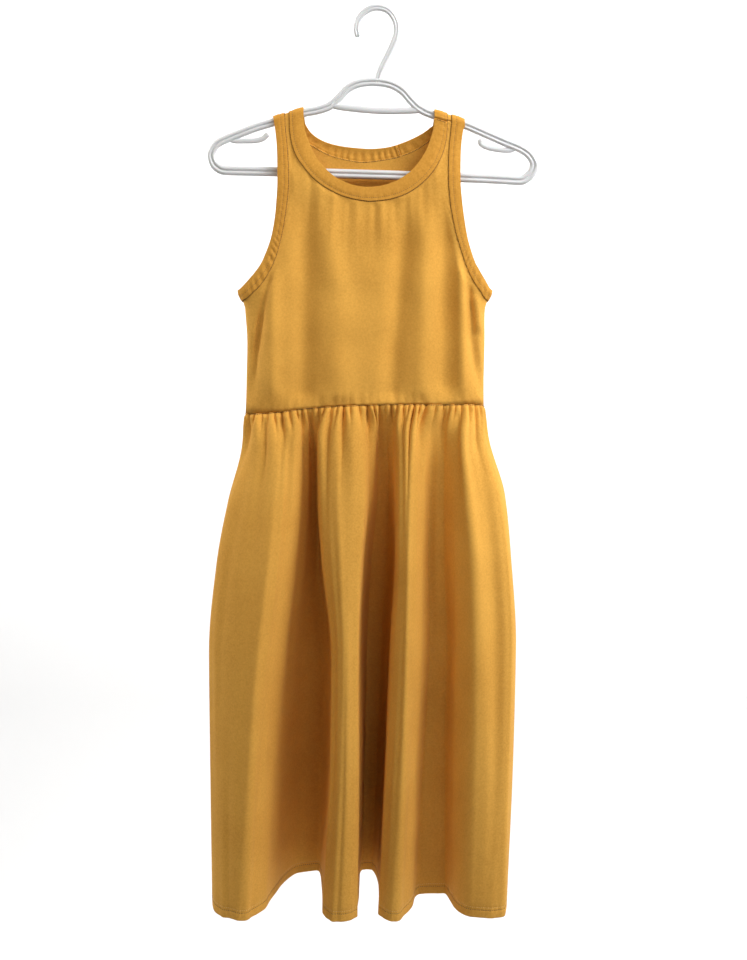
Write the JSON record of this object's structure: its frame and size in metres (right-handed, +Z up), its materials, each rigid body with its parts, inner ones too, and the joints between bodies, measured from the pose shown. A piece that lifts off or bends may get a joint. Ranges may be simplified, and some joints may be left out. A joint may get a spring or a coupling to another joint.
{
  "type": "sleeveless gathered dress on a hanger",
  "caption": "Knee-to-calf length sleeveless knit dress with banded round neck and armholes, waist seam and gathered skirt, hung over a thin-rod hanger with a round hook.",
  "frame": {"origin": "the inner top of the hanger's hook, where the whole thing is held", "axes": "+Z up along the hanging length; the front of the dress faces -Y; +X is to the right as seen from the front"},
  "size_m": [0.4341, 0.1802, 1.1933],
  "materials": {
    "front_bodice": "matte knitted cotton jersey",
    "back_bodice": "matte knitted cotton jersey",
    "neckband": "matte knitted cotton jersey",
    "left_armband": "matte knitted cotton jersey",
    "right_armband": "matte knitted cotton jersey",
    "front_skirt": "matte knitted cotton jersey",
    "back_skirt": "matte knitted cotton jersey",
    "hanger": "smooth moulded plastic, softly glossy"
  },
  "bodies": {
    "root": {"front_bodice": "front_bodice", "back_bodice": "back_bodice", "neckband": "neckband", "left_armband": "left_armband", "right_armband": "right_armband", "front_skirt": "front_skirt", "back_skirt": "back_skirt", "hanger": "hanger"}
  },
  "joints": []
}
